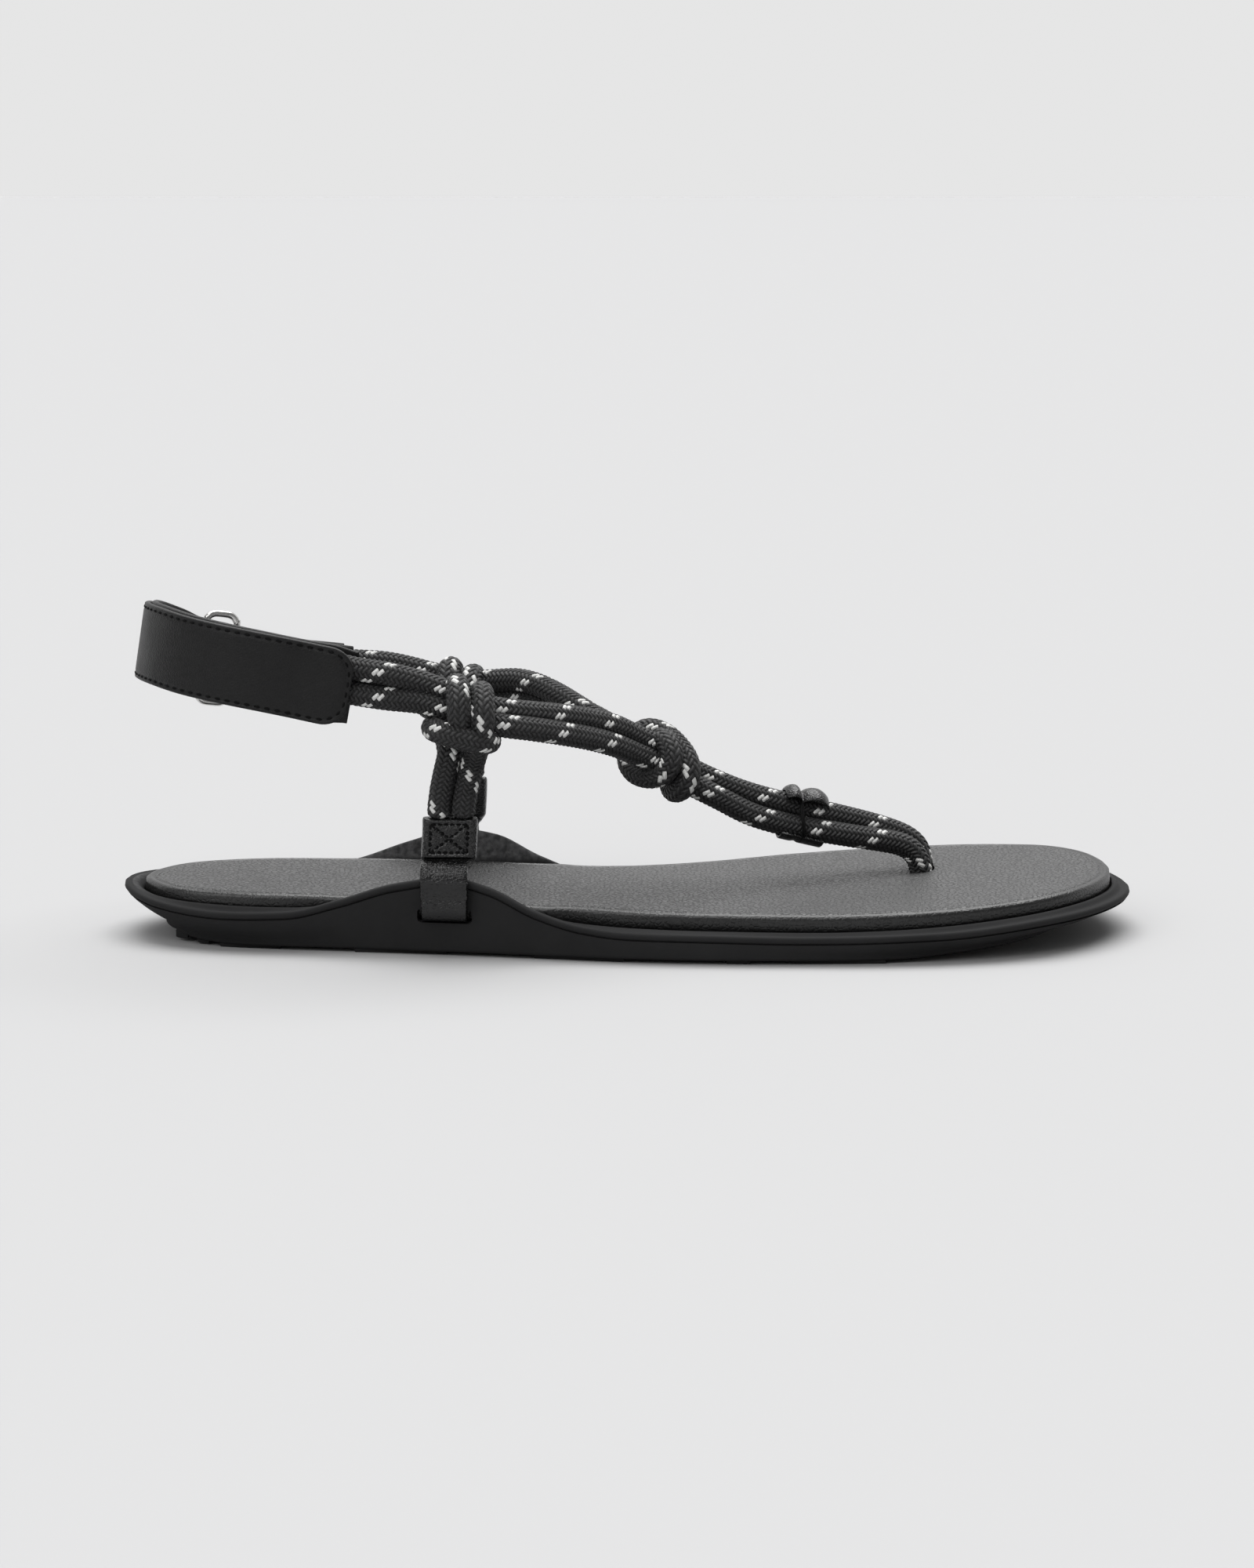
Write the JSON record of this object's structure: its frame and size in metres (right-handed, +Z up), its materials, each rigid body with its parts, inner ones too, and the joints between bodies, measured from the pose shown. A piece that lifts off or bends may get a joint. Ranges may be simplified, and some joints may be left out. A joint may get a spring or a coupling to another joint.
{
  "type": "rope sandal",
  "caption": "Flat right sandal with a moulded sole unit, side wings, padded footbed, knotted rope upper with toe post, side tabs and a leather heel strap through a metal ring.",
  "frame": {"origin": "centre of the shoe's bounding box, on the floor under the tread lugs", "axes": "+X towards the toe, +Y towards the medial side, +Z up; the lateral side is -Y"},
  "size_m": [0.2526, 0.0954, 0.083],
  "materials": {
    "outsole": "satin moulded foam rubber",
    "footbed": "fine grained padded cover",
    "tab_leather": "glossy grained leather",
    "rope": "black braid with white tracer flecks",
    "strap_leather": "smooth satin leather, edge stitched",
    "ring": "polished wire"
  },
  "bodies": {
    "root": {"outsole": "outsole", "footbed": "footbed", "lateral_tab": "tab_leather", "medial_tab": "tab_leather", "rope_upper": "rope", "rope_keeper": "tab_leather", "heel_strap": "strap_leather", "ring_tab": "strap_leather", "strap_ring": "ring"}
  },
  "joints": []
}
